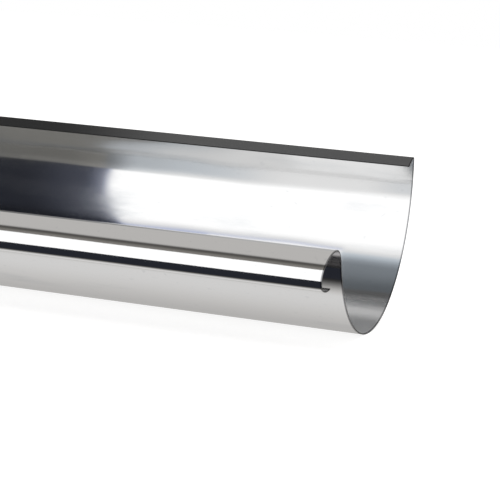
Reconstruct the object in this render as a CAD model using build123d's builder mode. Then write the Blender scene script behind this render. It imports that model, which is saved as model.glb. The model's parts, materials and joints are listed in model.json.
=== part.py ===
"""Half-round eaves gutter: one length of galvanised steel sheet, bent along its whole length.

The sheet runs from the tip of the water fold at the back, round the trough and up
the front, and ends in the open bead that the gutter hangs and stiffens itself by.
X runs along the gutter and Z is up. It lies unheld on a level floor, rolled
towards the heavy bead until its weight is straight above the line it rests on.
"""
from math import atan2, cos, degrees, radians, sin, tan
import os

from build123d import *

os.makedirs("parts", exist_ok=True)

# The sheet and the trough
gutter_length = 2000.0
sheet = 0.6
clear_width = 125.0

# Back edge: a short upright above the trough, folded in so that water can't creep out
back_rise = 1.5
fold_width = 8.0
fold_bend = 1.0
fold_slope = 16.0

# Front edge: the wall stops short of upright, then rolls outwards into the bead
front_lean = 10.0
bead_diameter = 18.5
bead_turn = 272.0

# One end of the bead is trimmed at a slant so that the next length can slip inside it
trim_angle = 12.5

# Middle of the sheet's thickness in each bend
trough_middle = (clear_width + sheet) / 2
bead_middle = (bead_diameter - sheet) / 2
fold_middle = fold_bend + sheet / 2


def draw_side(outward):
    """Draw one side of the sheet, outward of the middle of its thickness, and give its two ends."""
    level = Vector(trough_middle + outward, 0)
    back = Line(level, level + Vector(0, back_rise))
    fold = JernArc(back @ 1, (0, 1), fold_middle + outward, 90 + fold_slope)
    strip = Line(fold @ 1, fold @ 1 + (fold % 1) * fold_width)
    trough = JernArc(level, (0, -1), trough_middle + outward, front_lean - 180)
    bead = JernArc(trough @ 1, trough % 1, bead_middle - outward, bead_turn)
    return strip @ 1, bead @ 1


# The bead's centre is across the wall's end from the trough's centre
bead_distance = trough_middle + bead_middle
bead_y = -bead_distance * cos(radians(front_lean))
bead_z = -bead_distance * sin(radians(front_lean))

# What the trim takes off: a slice of the bead alone, from its top to its lower outside,
# while the wall beside it stays whole
trim = radians(trim_angle)
bead_top = Vector(gutter_length / 2, bead_y, bead_z + bead_diameter / 2)
lower_outside = Vector(0, -1, -1).normalized()
off_the_end = Vector(cos(trim), 0, 0) + lower_outside * sin(trim)

with BuildPart() as bead_trim:
    with BuildSketch(Plane.YZ.offset(gutter_length / 2)):
        with Locations((bead_y, bead_z)):
            Circle(bead_diameter / 2)
        Circle(trough_middle + sheet / 2, mode=Mode.SUBTRACT)
    extrude(amount=-bead_diameter * tan(trim))
    split(bisect_by=Plane(bead_top, z_dir=off_the_end), keep=Keep.TOP)

with BuildPart() as trough_blank:
    with BuildSketch(Plane.YZ):
        with BuildLine():
            outer_tip, outer_lip = draw_side(sheet / 2)
            inner_tip, inner_lip = draw_side(-sheet / 2)
            Line(outer_tip, inner_tip)
            Line(outer_lip, inner_lip)
        make_face()
    extrude(amount=gutter_length / 2, both=True)
    add(bead_trim.part, mode=Mode.SUBTRACT)

# Unheld, the round trough rolls until its weight is straight below the trough's centre
weight = trough_blank.part.center()
roll = degrees(atan2(-weight.Y, -weight.Z))

with BuildPart() as gutter:
    add(trough_blank.part.rotate(Axis.X, roll))
    lying = gutter.part.bounding_box()
    floor_middle = Vector(lying.center().X, lying.center().Y, lying.min.Z)
    gutter.part = gutter.part.translate(-floor_middle)

gutter.part.label = "gutter"
export_step(gutter.part, "parts/gutter.step")
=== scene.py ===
"""Half-round eaves gutter: one length of galvanised steel, rolled from flat sheet by a bending rule.

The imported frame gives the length, the floor, the trough's centre and the bead's bore.
The bright coat mirrors cards that only the metal sees, which give it its white and dark
bands. X runs along the gutter, Z is up, and everything is in metres.
"""
import json
from math import atan2, cos, pi, radians, sin, tan

import bpy
from bpy.props import FloatProperty, FloatVectorProperty, IntProperty, PointerProperty
from mathutils import Matrix, Vector


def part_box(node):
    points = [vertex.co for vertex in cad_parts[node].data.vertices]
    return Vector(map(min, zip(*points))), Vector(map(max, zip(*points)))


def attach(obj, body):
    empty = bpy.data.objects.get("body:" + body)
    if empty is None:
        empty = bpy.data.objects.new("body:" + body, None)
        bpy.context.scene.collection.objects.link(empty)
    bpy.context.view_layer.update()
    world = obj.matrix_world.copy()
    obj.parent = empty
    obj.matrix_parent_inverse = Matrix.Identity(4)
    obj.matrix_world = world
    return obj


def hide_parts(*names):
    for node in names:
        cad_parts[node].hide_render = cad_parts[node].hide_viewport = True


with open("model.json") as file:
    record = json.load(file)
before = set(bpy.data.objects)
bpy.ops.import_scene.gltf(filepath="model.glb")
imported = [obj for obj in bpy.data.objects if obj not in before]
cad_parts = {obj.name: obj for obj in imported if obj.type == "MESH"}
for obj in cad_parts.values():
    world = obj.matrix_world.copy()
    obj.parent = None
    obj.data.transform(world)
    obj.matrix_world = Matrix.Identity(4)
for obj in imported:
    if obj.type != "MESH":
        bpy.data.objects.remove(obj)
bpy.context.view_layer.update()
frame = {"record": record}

bl_info = {
    "name": "Half-round gutter",
    "version": (1, 0, 0),
    "blender": (4, 5, 0),
    "location": "3D View > Sidebar > Gutter",
    "description": "Rolls a galvanised steel gutter from flat sheet and sets it in a white studio",
    "category": "Add Mesh",
}

MM = 0.001
FLOOR_REACH = 40

# What the frame says: the gutter's box, where it lies on the floor, and the bore of its bead
gutter_low, gutter_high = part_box("gutter")
mounts = {mount["name"]: mount for mount in frame["record"]["mounts"]}
seat = Vector(mounts["bracket_seat"]["pos_m"])
bead_centre = Vector(mounts["bead_bore"]["pos_m"])

# The sheet's bends in the order in which they follow each other, with the rows of mesh in each.
# Edges that are bent by more than the sharp angle stay sharp
BENDS = {"Strip": 3, "Fold": 10, "Rise": 2, "Trough": 96, "Bead": 72}
SHARP_EDGE = radians(40)

# What one bend hands on to the next
STATE = [("Point", "Vector"), ("Heading", "Float"), ("Run", "Float"), ("Rows", "Float")]


def length_of(name, description, value):
    """A length that the user can change."""
    return FloatProperty(name=name, description=description, default=value, unit="LENGTH")


def angle_of(name, description, value):
    """An angle that the user can change, given here in degrees."""
    return FloatProperty(
        name=name, description=description, default=radians(value), unit="ROTATION"
    )


def place_of(name, description, value):
    """A place that the user can change."""
    return FloatVectorProperty(
        name=name, description=description, default=value, subtype="TRANSLATION", unit="LENGTH"
    )


def colour_of(name, description, value):
    """A colour that the user can change."""
    return FloatVectorProperty(name=name, description=description, default=value, subtype="COLOR")


def share_of(name, description, value):
    """A share between nothing and one that the user can change."""
    return FloatProperty(
        name=name, description=description, default=value, min=0, soft_max=1, subtype="FACTOR"
    )


def glow_of(name, description, value):
    """A strength of light that the user can change: white is 1."""
    return FloatProperty(name=name, description=description, default=value, min=0, soft_max=2)


class GutterSizes(bpy.types.PropertyGroup):
    """Sizes of the sheet and of its bends"""

    sheet: length_of("Sheet", "Thickness of the steel", 0.6 * MM)
    clear_width: length_of("Clear Width", "Inner width of the round trough", 125 * MM)
    back_rise: length_of("Back Rise", "Upright between the trough and the water fold", 1.5 * MM)
    fold_width: length_of("Fold Width", "Flat strip of the water fold", 8 * MM)
    fold_bend: length_of("Fold Bend", "Inner radius of the water fold", 1 * MM)
    fold_slope: angle_of("Fold Slope", "How far the strip slopes down from square", 16)
    front_lean: angle_of("Front Lean", "How far the front wall stops short of upright", 10)
    bead_diameter: length_of("Bead Diameter", "Across the rolled bead", 18.5 * MM)
    bead_turn: angle_of("Bead Turn", "How far the bead is rolled round", 272)
    trim_angle: angle_of("Trim Angle", "Slant of the trim at the bead's right end", 12.5)
    rows_along: IntProperty(
        name="Rows Along", description="Steps of the mesh along the gutter", default=80, min=2
    )


class SteelFinish(bpy.types.PropertyGroup):
    """Colours and gloss of the zinc-coated steel, and a shade painted into the bead's hollow"""

    zinc: colour_of("Zinc", "Colour of the bright coat", (0.8, 0.8, 0.8))
    dull_zinc: colour_of("Dull Zinc", "Colour of the coat where it is handled", (0.7, 0.71, 0.72))
    cut_steel: colour_of("Cut Steel", "Colour of the sheared edges", (0.06, 0.06, 0.06))
    roughness: share_of("Roughness", "Roughness of the bright coat", 0.09)
    dull_roughness: share_of("Dull Roughness", "Roughness of the handled coat", 0.16)
    cut_roughness: share_of("Cut Roughness", "Roughness of the sheared edges", 0.5)
    rim_zinc: colour_of("Rim Zinc", "Colour of the coat at the sheared ends", (0.3, 0.3, 0.31))
    rim_width: length_of("Rim Width", "How far the shearing marks the ends", 0.7 * MM)
    bead_start: length_of("Bead Start", "From the back edge, round the sheet, to the bead", 198 * MM)
    # Painted shade: a darker colour laid along the bead's hollow, and how far round the bead it
    # reaches
    painted_hollow_shade: colour_of("Hollow Zinc", "Colour of the coat in the bead's hollow", (0.5, 0.49, 0.5))
    hollow_shade_width: length_of("Hollow Width", "How far the dull coat follows the bead round", 34 * MM)
    film_roughness: share_of("Film Roughness", "Roughness of the film along the trough", 0.45)
    film_start: length_of("Film Start", "From the back edge, round the sheet, to the film", 78 * MM)
    film_end: length_of("Film End", "From the back edge, round the sheet, past the film", 150 * MM)
    tide_line: length_of("Tide Line", "From the back edge, round the sheet, to the tide line", 99 * MM)
    tide_width: length_of("Tide Width", "Reach of the chalky film from the tide line", 9 * MM)
    chalk: share_of("Chalk", "How chalky the film is at the tide line", 0.35)
    wave_height: length_of("Wave Height", "Unevenness left in the sheet by the rollers", 0.5 * MM)
    line_height: length_of("Line Height", "Depth of the fine rolling lines", 0.004 * MM)


class StudioSetup(bpy.types.PropertyGroup):
    """The camera, the floor and the light"""

    lens: FloatProperty(
        name="Lens", description="Focal length in millimetres", default=117.67, unit="CAMERA"
    )
    camera_place: place_of("Camera Place", "Where the camera stands", (1.18175, -0.71761, 0.13667))
    camera_turn: angle_of("Camera Turn", "Turn to the left from straight across", 18.52)
    camera_dip: angle_of("Camera Dip", "Tilt down from level", 7.818)
    camera_roll: angle_of("Camera Roll", "Lift of the picture's right side", 4.312)
    floor_white: share_of("Floor White", "Whiteness of the floor's paint", 0.5)
    floor_glow: glow_of("Floor Glow", "What makes the floor white to the camera", 0.78)
    floor_shine: glow_of("Floor Shine", "What the metal sees of that glow", 0.45)
    sky: glow_of("Sky", "Plain light from all round", 0.57)
    lamp_power: FloatProperty(
        name="Lamp Power", description="Power of the soft lamp", default=60, unit="POWER"
    )
    lamp_width: length_of("Lamp Width", "Width of the soft lamp", 3)
    lamp_place: place_of("Lamp Place", "Where the soft lamp hangs", (0, -1, 3))
    white_card: glow_of("White Card", "White cards that the metal mirrors", 1.3)
    grey_card: glow_of("Grey Card", "Grey cards that the metal mirrors", 0.18)
    black_card: glow_of("Black Card", "Black cards that the metal mirrors", 0.025)
    warm: colour_of("Warm", "Tint of the room and the floor in the metal", (1, 0.975, 0.95))
    cool: colour_of("Cool", "Tint of the dark cards", (0.84, 0.92, 1.24))


def feed(tree, socket, source):
    """Joins a socket to the output that feeds it, or gives it a value. None leaves it as it is."""
    if isinstance(source, bpy.types.NodeSocket):
        tree.links.new(source, socket)
    elif source is not None:
        socket.default_value = source


def put(tree, kind, *sources, **settings):
    """Adds a node with its settings, and feeds its inputs in their order."""
    node = tree.nodes.new(kind)
    for name, value in settings.items():
        setattr(node, name, value)
    for socket, source in zip(node.inputs, sources):
        feed(tree, socket, source)
    return node


def calc(tree, operation, *sources):
    """The result of one sum on numbers."""
    return put(tree, "ShaderNodeMath", *sources, operation=operation).outputs[0]


def across(tree, y, z):
    """A vector in the gutter's cross-section."""
    return put(tree, "ShaderNodeCombineXYZ", 0.0, y, z).outputs[0]


def added(tree, first, second):
    """The sum of two vectors."""
    return put(tree, "ShaderNodeVectorMath", first, second, operation="ADD").outputs[0]


def new_tree(name, inputs, outputs):
    """A geometry node tree, with the sockets that go in and out of it."""
    tree = bpy.data.node_groups.new(name, "GeometryNodeTree")
    for label, kind in inputs:
        tree.interface.new_socket(label, in_out="INPUT", socket_type="NodeSocket" + kind)
    for label, kind in outputs:
        tree.interface.new_socket(label, in_out="OUTPUT", socket_type="NodeSocket" + kind)
    given = tree.nodes.new("NodeGroupInput").outputs
    result = tree.nodes.new("NodeGroupOutput").inputs
    return tree, given, result


def bend_tree():
    """One bend: it takes each row of the sheet on by its share of the bend's length and turn.

    A row's state is the point that it has come to, the way that the sheet heads there, its
    run from the sheet's edge, and how many rows it still has to go.
    """
    inputs = STATE + [("Length", "Float"), ("Turn", "Float"), ("Steps", "Float")]
    tree, given, result = new_tree("Bend", inputs, STATE)
    share = calc(tree, "DIVIDE", given["Rows"], given["Steps"])
    share = put(tree, "ShaderNodeClamp", share).outputs[0]
    turned = calc(tree, "MULTIPLY", given["Turn"], share)
    rolled = calc(tree, "MULTIPLY", given["Length"], share)
    # The chord of an arc is its length times sin(half its turn) / half its turn.
    # The small number keeps a bend without a turn from dividing nothing by nothing.
    half = calc(tree, "MULTIPLY_ADD", turned, 0.5, 1e-5)
    chord = calc(tree, "MULTIPLY", rolled, calc(tree, "DIVIDE", calc(tree, "SINE", half), half))
    toward = calc(tree, "ADD", given["Heading"], half)
    step = across(
        tree,
        calc(tree, "MULTIPLY", chord, calc(tree, "COSINE", toward)),
        calc(tree, "MULTIPLY", chord, calc(tree, "SINE", toward)),
    )
    feed(tree, result["Point"], added(tree, given["Point"], step))
    feed(tree, result["Heading"], calc(tree, "ADD", given["Heading"], turned))
    feed(tree, result["Run"], calc(tree, "ADD", given["Run"], rolled))
    feed(tree, result["Rows"], calc(tree, "SUBTRACT", given["Rows"], given["Steps"]))
    return tree


def rolled_profile(tree, given, row, side):
    """Takes each row through the bends: its point in the cross-section, and its run."""
    bend = bend_tree()
    state = [given["Edge"], given["Edge Heading"], 0.0, row]
    for name, steps in BENDS.items():
        node = put(tree, "GeometryNodeGroup", node_tree=bend)
        sources = state + [given[name + " Length"], given[name + " Turn"], float(steps)]
        for socket, source in zip(node.inputs, sources):
            feed(tree, socket, source)
        state = [node.outputs[label] for label, kind in STATE]
    middle, heading, run, _ = state
    # The sides of the sheet lie square to the way that it heads
    offset = across(
        tree,
        calc(tree, "MULTIPLY", calc(tree, "SINE", heading), calc(tree, "MULTIPLY", side, -1.0)),
        calc(tree, "MULTIPLY", calc(tree, "COSINE", heading), side),
    )
    return added(tree, middle, offset), run


def gutter_tree():
    """Rolls a flat sheet into the gutter, trims its bead, and gives it its map and its finish."""
    inputs = [("Geometry", "Geometry"), ("Material", "Material"), ("Rows Along", "Int")]
    inputs += [("Sheet", "Float"), ("Length", "Float"), ("Edge", "Vector")]
    inputs += [("Edge Heading", "Float"), ("Trim Start", "Vector"), ("Trim Toward", "Vector")]
    inputs += [("Trim Slope", "Float"), ("Sharp", "Float")]
    for bend in BENDS:
        inputs += [(bend + " Length", "Float"), (bend + " Turn", "Float")]
    tree, given, result = new_tree("Gutter rolling", inputs, [("Geometry", "Geometry")])

    # The flat sheet is a slab one unit each way: X along, Y across by rows, Z its thickness.
    # Its underside becomes the inside of the trough
    rows = sum(BENDS.values())
    slab = put(tree, "GeometryNodeMeshCube", (1, 1, 1), given["Rows Along"], rows + 1, 2)
    place = put(tree, "ShaderNodeSeparateXYZ", put(tree, "GeometryNodeInputPosition").outputs[0])
    facing = put(tree, "ShaderNodeSeparateXYZ", put(tree, "GeometryNodeInputNormal").outputs[0])
    on_rim = calc(tree, "LESS_THAN", calc(tree, "ABSOLUTE", facing.outputs["Z"]), 0.5)
    on_inside = calc(tree, "LESS_THAN", facing.outputs["Z"], -0.5)
    for name, marked in (("cut_edge", on_rim), ("inside", on_inside)):
        slab = put(
            tree, "GeometryNodeStoreNamedAttribute", slab.outputs[0], None, name, marked,
            data_type="FLOAT", domain="FACE",
        )
    row = calc(tree, "MULTIPLY", calc(tree, "ADD", place.outputs["Y"], 0.5), rows)
    side = calc(tree, "MULTIPLY", place.outputs["Z"], given["Sheet"])
    profile, run = rolled_profile(tree, given, row, side)

    # The slanted trim shortens the rows of the bead, the more the further they lie past its start
    past = put(
        tree, "ShaderNodeVectorMath", profile, given["Trim Start"], operation="SUBTRACT"
    )
    past = put(
        tree, "ShaderNodeVectorMath", past.outputs[0], given["Trim Toward"],
        operation="DOT_PRODUCT",
    )
    cut = calc(tree, "MAXIMUM", past.outputs["Value"], 0.0)
    cut = calc(tree, "MULTIPLY", cut, given["Trim Slope"])
    on_bead = calc(tree, "GREATER_THAN", row, rows - BENDS["Bead"] - 0.5)
    length = calc(tree, "SUBTRACT", given["Length"], calc(tree, "MULTIPLY", cut, on_bead))
    from_left = calc(tree, "MULTIPLY", calc(tree, "ADD", place.outputs["X"], 0.5), length)
    along = calc(tree, "MULTIPLY_ADD", given["Length"], -0.5, from_left)
    along = put(tree, "ShaderNodeCombineXYZ", along).outputs[0]

    # Positions move all the fields above, so the map is kept before the sheet is rolled
    flat = put(tree, "ShaderNodeCombineXYZ", from_left, run).outputs[0]
    from_end = calc(tree, "MINIMUM", from_left, calc(tree, "SUBTRACT", length, from_left))
    for name, kind, value in (("UVMap", "FLOAT2", flat), ("from_end", "FLOAT", from_end)):
        slab = put(
            tree, "GeometryNodeStoreNamedAttribute", slab.outputs[0], None, name, value,
            data_type=kind, domain="CORNER",
        )
    rolled = put(
        tree, "GeometryNodeSetPosition", slab.outputs[0], None, added(tree, profile, along)
    )
    smooth = put(tree, "GeometryNodeSetShadeSmooth", rolled.outputs[0], None, True, domain="FACE")
    bent = put(tree, "GeometryNodeInputMeshEdgeAngle").outputs["Unsigned Angle"]
    gentle = calc(tree, "LESS_THAN", bent, given["Sharp"])
    smooth = put(
        tree, "GeometryNodeSetShadeSmooth", smooth.outputs[0], None, gentle, domain="EDGE"
    )
    whole = put(tree, "GeometryNodeRealizeInstances", smooth.outputs[0])
    finished = put(tree, "GeometryNodeSetMaterial", whole.outputs[0], None, given["Material"])
    feed(tree, result["Geometry"], finished.outputs[0])
    return tree


def gutter_values(sizes, finish):
    """Works out what the rolling tree is fed from the sizes of the section and from the frame."""
    half_sheet = sizes.sheet / 2
    trough = sizes.clear_width / 2 + half_sheet
    bead = sizes.bead_diameter / 2 - half_sheet
    fold = sizes.fold_bend + half_sheet
    fold_turn = pi / 2 + sizes.fold_slope
    trough_turn = pi - sizes.front_lean

    # The trough's centre is straight above the line that it lies on
    outer = trough + half_sheet
    centre = Vector((0, seat.y, seat.z + outer))
    from_bead = centre - Vector((0, bead_centre.y, bead_centre.z))
    roll = atan2(from_bead.z, from_bead.y) - sizes.front_lean
    rolled = Matrix.Rotation(roll, 4, "X")

    # Back from the trough's rim: up the rise, round the fold and along the strip to its edge
    strip_way = Vector((0, cos(pi / 2 + fold_turn), sin(pi / 2 + fold_turn)))
    fold_centre = Vector((0, trough - fold, sizes.back_rise))
    fold_end = fold_centre + fold * Vector((0, cos(fold_turn), sin(fold_turn)))
    edge = fold_end + sizes.fold_width * strip_way
    lower_outside = Vector((0, -1, -1)).normalized()
    bead_top = bead_centre + rolled @ Vector((0, 0, sizes.bead_diameter / 2))
    return {
        "Material": finish,
        "Rows Along": sizes.rows_along,
        "Sheet": sizes.sheet,
        "Length": gutter_high.x - gutter_low.x,
        "Edge": centre + rolled @ edge,
        "Edge Heading": roll + fold_turn - pi / 2,
        "Strip Length": sizes.fold_width,
        "Fold Length": fold * fold_turn,
        "Fold Turn": -fold_turn,
        "Rise Length": sizes.back_rise,
        "Trough Length": trough * trough_turn,
        "Trough Turn": -trough_turn,
        "Bead Length": bead * sizes.bead_turn,
        "Bead Turn": sizes.bead_turn,
        "Trim Start": bead_top,
        "Trim Toward": rolled @ lower_outside,
        "Trim Slope": tan(sizes.trim_angle),
        "Sharp": SHARP_EDGE,
    }


def grown(name, tree, values):
    """A plain mesh object from what the tree makes, with the modifier gone."""
    blank = bpy.data.meshes.new(name + "_seed")
    seed = bpy.data.objects.new(name + "_seed", blank)
    bpy.context.scene.collection.objects.link(seed)
    modifier = seed.modifiers.new(name, "NODES")
    modifier.node_group = tree
    for item in tree.interface.items_tree:
        if item.in_out == "INPUT" and item.name in values:
            modifier[item.identifier] = values[item.name]
    seen = seed.evaluated_get(bpy.context.evaluated_depsgraph_get())
    mesh = bpy.data.meshes.new_from_object(seen)
    mesh.name = name
    bpy.data.objects.remove(seed)
    bpy.data.meshes.remove(blank)
    piece = bpy.data.objects.new(name, mesh)
    bpy.context.scene.collection.objects.link(piece)
    return piece


def bare_material(name):
    """A material with nothing in its node tree yet."""
    material = bpy.data.materials.new(name)
    material.use_nodes = True
    material.node_tree.nodes.clear()
    return material, material.node_tree


def blend(tree, share, first, second):
    """A colour between two others."""
    mixed = put(tree, "ShaderNodeMix", share, data_type="RGBA")
    feed(tree, mixed.inputs[6], first)
    feed(tree, mixed.inputs[7], second)
    return mixed.outputs[2]


def ramp(tree, value, start, end, low, high):
    """Passes softly from one number to another while the value goes from its start to its end."""
    return put(
        tree, "ShaderNodeMapRange", value, start, end, low, high, interpolation_type="SMOOTHSTEP"
    ).outputs[0]


def between(tree, value, start, end, rise, fall):
    """A share that rises softly to one from a start, and falls softly to nothing from an end."""
    rising = ramp(tree, value, start, start + rise, 0, 1)
    falling = ramp(tree, value, end, end + fall, 1, 0)
    return calc(tree, "MULTIPLY", rising, falling)


def grain(tree, flat, per_metre, detail, roughness=0.5):
    """Noise over the flat sheet, with its own count of blotches a metre along and across it."""
    spread = put(tree, "ShaderNodeVectorMath", flat, per_metre, operation="MULTIPLY").outputs[0]
    return put(
        tree, "ShaderNodeTexNoise", spread, None, 1.0, detail, roughness, noise_dimensions="3D"
    ).outputs[0]


def galvanised_steel(finish):
    """Bright zinc: rolling lines, waves, smears, dark rims, a shade painted into the bead's hollow, a
    film in the trough.
    """
    material, tree = bare_material("galvanised_steel")
    flat = put(tree, "ShaderNodeUVMap", uv_map="UVMap").outputs[0]
    cut = put(tree, "ShaderNodeAttribute", attribute_name="cut_edge").outputs["Fac"]
    inside = put(tree, "ShaderNodeAttribute", attribute_name="inside").outputs["Fac"]
    outside = calc(tree, "SUBTRACT", 1.0, inside)
    run = put(tree, "ShaderNodeSeparateXYZ", flat).outputs["Y"]

    lines = grain(tree, flat, (1.5, 420, 0), detail=3)
    waves = grain(tree, flat, (14, 30, 0), detail=1)
    smears = ramp(tree, grain(tree, flat, (7, 30, 0), detail=5, roughness=0.65), 0.52, 0.72, 0, 1)
    specks = ramp(tree, grain(tree, flat, (260, 320, 0), detail=3), 0.64, 0.72, 0, 0.5)
    worn = calc(tree, "MAXIMUM", smears, specks)
    streak_depth = 0.06
    streaked = calc(tree, "MULTIPLY_ADD", lines, streak_depth, finish.roughness - streak_depth / 2)
    worn_gloss = calc(tree, "SUBTRACT", finish.dull_roughness, streaked)
    gloss = calc(tree, "MULTIPLY_ADD", worn, worn_gloss, streaked)
    colour = blend(tree, worn, (*finish.zinc, 1), (*finish.dull_zinc, 1))

    # The ends are darker where they are sheared
    from_end = put(tree, "ShaderNodeAttribute", attribute_name="from_end").outputs["Fac"]
    rim = ramp(tree, from_end, finish.rim_width / 2, finish.rim_width, 1, 0)
    colour = blend(tree, rim, colour, (*finish.rim_zinc, 1))

    # Painted shade: the bead's hollow is coloured dark but for the lip. The coat of the bead's inside
    # is also half as rough as the film
    hollow_shade_end = finish.bead_start + finish.hollow_shade_width
    hollow = between(tree, run, finish.bead_start, hollow_shade_end, 3 * MM, 3 * MM)
    hollow = calc(tree, "MULTIPLY", hollow, outside)
    colour = blend(tree, hollow, colour, (*finish.painted_hollow_shade, 1))
    colour = blend(tree, cut, colour, (*finish.cut_steel, 1))
    hollow_film = calc(tree, "GREATER_THAN", run, finish.bead_start)
    hollow_film = calc(tree, "MULTIPLY", hollow_film, calc(tree, "MULTIPLY", outside, 0.5))

    # A dull film lies along the trough's floor, where the last water stands
    filmed = between(tree, run, finish.film_start, finish.film_end, 20 * MM, 10 * MM)
    filmed = calc(tree, "MAXIMUM", calc(tree, "MULTIPLY", filmed, inside), hollow_film)
    gloss = calc(tree, "MAXIMUM", gloss, calc(tree, "MULTIPLY", filmed, finish.film_roughness))
    gloss = calc(tree, "MAXIMUM", gloss, calc(tree, "MULTIPLY", cut, finish.cut_roughness))

    # Where the water's edge dried, the film is chalky in streaks
    from_tide = calc(tree, "ABSOLUTE", calc(tree, "SUBTRACT", run, finish.tide_line))
    chalk = ramp(tree, from_tide, 0, finish.tide_width, finish.chalk, 0)
    chalk = calc(tree, "MULTIPLY", chalk, inside)
    chalk = calc(tree, "MULTIPLY", chalk, calc(tree, "ADD", lines, 0.5))
    metal = calc(tree, "SUBTRACT", 1.0, chalk)

    relief = put(tree, "ShaderNodeBump", 1.0, finish.wave_height, None, waves)
    relief = put(
        tree, "ShaderNodeBump", 1.0, finish.line_height, None, lines, relief.outputs[0]
    )
    shader = put(tree, "ShaderNodeBsdfPrincipled", colour, metal, gloss)
    feed(tree, shader.inputs["Normal"], relief.outputs[0])
    put(tree, "ShaderNodeOutputMaterial", shader.outputs[0])
    return material


class GUTTER_OT_gutter(bpy.types.Operator):
    """Roll the gutter from flat sheet, in the place of the frame's plain one"""

    bl_idname = "gutter.roll"
    bl_label = "Roll Gutter"

    def execute(self, context):
        scene = context.scene
        finish = galvanised_steel(scene.steel_finish)
        tree = gutter_tree()
        piece = grown("rolled_gutter", tree, gutter_values(scene.gutter_sizes, finish))
        if not piece.data.polygons:
            raise RuntimeError("the rolling tree made no faces")
        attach(piece, "root")
        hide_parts("gutter")
        return {"FINISHED"}


def plane(name, corners, material):
    """A flat stage piece through its corners."""
    mesh = bpy.data.meshes.new(name)
    mesh.from_pydata(corners, [], [range(len(corners))])
    mesh.materials.append(material)
    piece = bpy.data.objects.new(name, mesh)
    bpy.context.scene.collection.objects.link(piece)
    return piece


def floor_paint(studio):
    """Pale floor paint: it is white to the camera, shows in the metal, and keeps the shadow."""
    material, tree = bare_material("floor_white")
    path = put(tree, "ShaderNodeLightPath").outputs
    shine = calc(tree, "MULTIPLY", path["Is Glossy Ray"], studio.floor_shine)
    glow = calc(tree, "MULTIPLY_ADD", path["Is Camera Ray"], studio.floor_glow, shine)
    tint = blend(tree, path["Is Glossy Ray"], (1, 1, 1, 1), (*studio.warm, 1))
    white = put(tree, "ShaderNodeEmission", tint, glow)
    paint = put(tree, "ShaderNodeBsdfDiffuse", (*[studio.floor_white] * 3, 1))
    both = put(tree, "ShaderNodeAddShader", paint.outputs[0], white.outputs[0])
    put(tree, "ShaderNodeOutputMaterial", both.outputs[0])
    return material


def studio_world(studio):
    """White to the camera, and a plain soft light for the rest."""
    world = bpy.data.worlds.new("studio")
    world.use_nodes = True
    tree = world.node_tree
    tree.nodes.clear()
    path = put(tree, "ShaderNodeLightPath").outputs
    strength = calc(tree, "MULTIPLY_ADD", path["Is Camera Ray"], 1 - studio.sky, studio.sky)
    tint = blend(tree, path["Is Camera Ray"], (*studio.warm, 1), (1, 1, 1, 1))
    sky = put(tree, "ShaderNodeBackground", tint, strength)
    put(tree, "ShaderNodeOutputWorld", sky.outputs[0])
    return world


def card_paint(name, tint, along, up, depth, slant):
    """A card's glow on its front: soft passages along the gutter, times one up or outwards."""
    material, tree = bare_material(name)
    place = put(tree, "ShaderNodeTexCoord").outputs["Object"]
    x, y, z = put(tree, "ShaderNodeSeparateXYZ", place).outputs
    x = calc(tree, "MULTIPLY_ADD", z, slant, x)
    strength = ramp(tree, x, *along[0])
    for passage in along[1:]:
        strength = calc(tree, "ADD", strength, ramp(tree, x, *passage))
    strength = calc(tree, "MULTIPLY", strength, ramp(tree, y if depth else z, *up))
    # The tint fades as the glow nears white
    whiteness = ramp(tree, strength, 0.6, 0.9, 0, 1)
    tint = blend(tree, whiteness, (*tint, 1), (1, 1, 1, 1))
    glow = put(tree, "ShaderNodeEmission", tint, strength)
    clear = put(tree, "ShaderNodeBsdfTransparent")
    behind = put(tree, "ShaderNodeNewGeometry").outputs["Backfacing"]
    both = put(tree, "ShaderNodeMixShader", behind, glow.outputs[0], clear.outputs[0])
    put(tree, "ShaderNodeOutputMaterial", both.outputs[0])
    return material


# What the cards share: a passage that changes nothing, tints, how high the cards on the floor
# lie, and where the front board stands
PLAIN = (0, 1, 1, 1)
NEUTRAL, CREAM, ICE = (1, 1, 1), (1, 0.98, 0.92), (0.94, 1, 1.06)
CARD_LIFT, BOARD_Y = 0.0004, -0.093


def even(strength):
    """The passages of a card that has one strength all along."""
    return [(0, 1, strength, strength)]


def card(
    name, first, last, along=(PLAIN,), up=PLAIN,
    left=-1.05, right=1.05, depth=False, slant=0, tint=None,
):
    """A card that only the metal sees, from its first edge to its last, both given as (y, z).

    Its front is on the side that is left of the way from the first edge to the last,
    as seen along X. A passage is (start, end, strength before, strength after), and the
    passages along X add up. They lean by the slant for each metre up. The one passage up
    the card, or outwards where it is given depth, multiplies them.
    """
    corners = [(left, *first), (left, *last), (right, *last), (right, *first)]
    tint = tint or bpy.context.scene.studio_setup.cool
    piece = plane(name, corners, card_paint(name, tint, along, up, depth, slant))
    piece.visible_camera = False
    piece.visible_diffuse = False
    piece.visible_shadow = False
    piece.visible_transmission = False
    piece.visible_volume_scatter = False
    return piece


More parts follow.
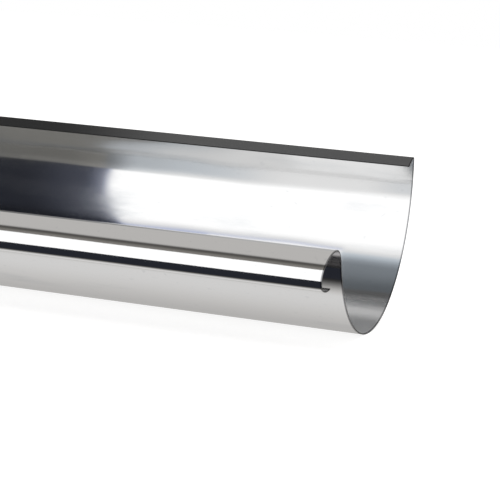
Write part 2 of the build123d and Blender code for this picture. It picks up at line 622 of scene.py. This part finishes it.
def lay_screen(studio):
    """A screen straight above the bead, which the inside of the trough mirrors.

    It is white from a leaning edge near the right end, and nearly black to the left of that.
    The dark fades into the plain light of the room well before the gutter's middle.
    """
    white, grey, black, y = studio.white_card, studio.grey_card, studio.black_card, bead_centre.y
    fade_start, dark_start, split, edge = 0.4, 0.64, 0.779, 0.791
    low, foot_top, high, fade_top, top = 0.046, 0.07, 0.165, 0.215, 0.3
    soft = [(fade_start, dark_start, studio.sky, black)]
    card("screen_soft", (y, low), (y, high), soft, left=fade_start, right=dark_start)

    # The foot of the screen is lighter, cream to the left of its split and icy to the right
    shade = [(0.75, split, 0.15, 0.2)]
    shine = [(split, 0.8, 0.2, 0.53), (0.8, 0.84, 0, 0.1), (0.83, 0.91, 0, 0.28)]
    shine += [(0.94, 0.965, 0, -0.14)]
    foot = {"first": (y, low), "last": (y, foot_top), "up": (0.061, foot_top, 1, 1.5)}
    card("foot_shade", along=shade, left=dark_start, right=split, tint=CREAM, **foot)
    card("screen_foot", along=shine, left=split, tint=ICE, **foot)

    # Above the foot, the dark turns to dusk, and at the edge to grey and then to white
    dusk = 0.07
    screen = [(edge - 0.06, edge - 0.005, black, dusk), (edge - 0.012, edge, 0, grey - dusk)]
    screen += [(edge, edge + 0.006, 0, white - grey)]
    leaning = {"left": dark_start, "slant": 0.165}
    card("screen", (y, foot_top), (y, high), screen, **leaning)
    card("screen_top", (y, high), (y, top), screen, (high, fade_top, 1, 0.5), **leaning)


def lay_bead_cards(studio):
    """Small cards close above the bead.

    One gives the line along the bead's top and one the plain light above that line. The
    third lies flat over the bead's inner side, and leaves a faint line high in the trough.
    """
    y, inner_y = -0.0585, -0.04
    low, middle, high = 0.0462, 0.0488, 0.0605
    line = [(0.8, 0.98, 0.1, 0.5)]
    lip = [(0.765, 0.79, 0.2, 0.72), (0.79, 0.9, 0, 0.2)]
    card("bead_line", (y, middle), (y, low), line, tint=NEUTRAL)
    card("bead_sky", (y, high), (y, middle), even(0.56), tint=studio.warm)
    card("lip_line", (y, high), (inner_y, high), lip, left=0.64, tint=(0.97, 1, 1.03))


def lay_front(studio):
    """In front of the bead: a white board up from the floor, with a grey band above it."""
    grey = even(studio.grey_card)
    far = -0.5
    foot, board_top, band_top, brim_top = (BOARD_Y, CARD_LIFT), (far, 0.112), (far, 0.34), (far, 0.46)
    band, brim = (0.16, 0.3, 1.3, 0.55), (0.34, 0.44, 0.55, 2.6)
    card("front_board", foot, board_top, even(studio.white_card))
    card("front_band", board_top, band_top, grey, band, tint=(1, 0.95, 0.88))
    card("front_brim", band_top, brim_top, grey, brim, tint=studio.warm)


def lay_floor(studio):
    """On the floor: black from the board to the trough, then the trough's own soft shade."""
    black, shade = studio.black_card, 0.77
    strip, edge, inner = (-0.06, CARD_LIFT), (-0.043, CARD_LIFT), (0.006, CARD_LIFT)
    level = {"depth": True, "tint": (1, 0.98, 0.96)}
    card("floor_strip", strip, (BOARD_Y, CARD_LIFT), even(black))
    card("floor_edge", edge, strip, up=(strip[0], edge[0], black, shade), **level)
    card("floor_shade", inner, edge, up=(-0.042, -0.004, shade, 0.48), **level)


def lay_back(studio):
    """Close above the water fold, a dark strip, and behind, high up, a screen in two parts.

    The trough shows the screen after two bounces: dark to the left and light to the right.
    """
    fold = [(0.8, 0.88, 0.035, 0.11)]
    card("fold_strip", (0.052, 0.088), (0.095, 0.088), fold, tint=NEUTRAL)
    split = 0.592
    light = [(split, split + 0.01, 0.3, 0.65), (split + 0.01, 0.71, 0, 0.31)]
    screen = {"first": (0.3, 0.6), "last": (0.3, 0.19)}
    card("back_shade", along=even(0.24), right=split, tint=CREAM, **screen)
    card("back_screen", along=light, left=split, tint=ICE, **screen)


def lay_overhead(studio):
    """Over the right end, a flag that leaves the trough's floor dark, and beside it a light."""
    height, near, middle, far = 0.12, -0.015, 0.022, 0.075
    shade = 0.24
    flag = {"left": 0.94, "depth": True, "tint": (0.9, 1, 1.1)}
    card("flag_edge", (near, height), (middle, height), up=(near, middle, 1.2, shade), **flag)
    card("flag", (middle, height), (far, height), up=(middle, 0.05, shade, 0.13), **flag)
    light = even(0.9 * studio.white_card)
    card("trough_light", (0, height), (0.09, height), light, left=0.86, right=0.94)


def lay_cards(studio):
    """The cards round the gutter, which give the metal its white and dark bands."""
    for lay in (lay_screen, lay_bead_cards, lay_front, lay_floor, lay_back, lay_overhead):
        lay(studio)


class GUTTER_OT_studio(bpy.types.Operator):
    """Set up the white floor, the soft light and the camera"""

    bl_idname = "gutter.studio"
    bl_label = "Set Up Studio"

    def execute(self, context):
        scene = context.scene
        studio = scene.studio_setup
        scene.view_settings.view_transform = "Standard"
        scene.world = studio_world(studio)
        reach = FLOOR_REACH
        corners = [(-reach, -reach, 0), (reach, -reach, 0), (reach, reach, 0), (-reach, reach, 0)]
        plane("floor", corners, floor_paint(studio))
        lay_cards(studio)

        camera = bpy.data.objects.new("camera", bpy.data.cameras.new("camera"))
        scene.collection.objects.link(camera)
        camera.data.lens = studio.lens
        camera.matrix_world = (
            Matrix.Translation(studio.camera_place)
            @ Matrix.Rotation(studio.camera_turn, 4, "Z")
            @ Matrix.Rotation(pi / 2 - studio.camera_dip, 4, "X")
            @ Matrix.Rotation(studio.camera_roll, 4, "Z")
        )
        scene.camera = camera

        lamp = bpy.data.objects.new("soft_lamp", bpy.data.lights.new("soft_lamp", "AREA"))
        scene.collection.objects.link(lamp)
        lamp.data.size = studio.lamp_width
        lamp.data.energy = studio.lamp_power
        lamp.location = studio.lamp_place
        lamp.visible_glossy = False
        return {"FINISHED"}


class GUTTER_PT_panel(bpy.types.Panel):
    """The gutter's steps in the sidebar"""

    bl_label = "Gutter"
    bl_idname = "GUTTER_PT_panel"
    bl_space_type = "VIEW_3D"
    bl_region_type = "UI"
    bl_category = "Gutter"

    def draw(self, context):
        for operator in OPERATORS:
            self.layout.operator(operator.bl_idname)
        for group in GROUPS:
            settings = getattr(context.scene, group)
            for name in settings.bl_rna.properties.keys():
                if name not in ("rna_type", "name"):
                    self.layout.prop(settings, name)


GROUPS = {"gutter_sizes": GutterSizes, "steel_finish": SteelFinish, "studio_setup": StudioSetup}
OPERATORS = (GUTTER_OT_gutter, GUTTER_OT_studio)


def register():
    """Makes the sizes, the steps and the panel known to Blender."""
    for kind in (*GROUPS.values(), *OPERATORS, GUTTER_PT_panel):
        bpy.utils.register_class(kind)
    for name, kind in GROUPS.items():
        setattr(bpy.types.Scene, name, PointerProperty(type=kind))


def unregister():
    """Takes the sizes, the steps and the panel away again."""
    for name in GROUPS:
        delattr(bpy.types.Scene, name)
    for kind in (*GROUPS.values(), *OPERATORS, GUTTER_PT_panel):
        bpy.utils.unregister_class(kind)


def main():
    """Makes the gutter and its studio."""
    register()
    bpy.ops.gutter.roll()
    bpy.ops.gutter.studio()
    bpy.context.view_layer.update()


if __name__ == "__main__":
    main()
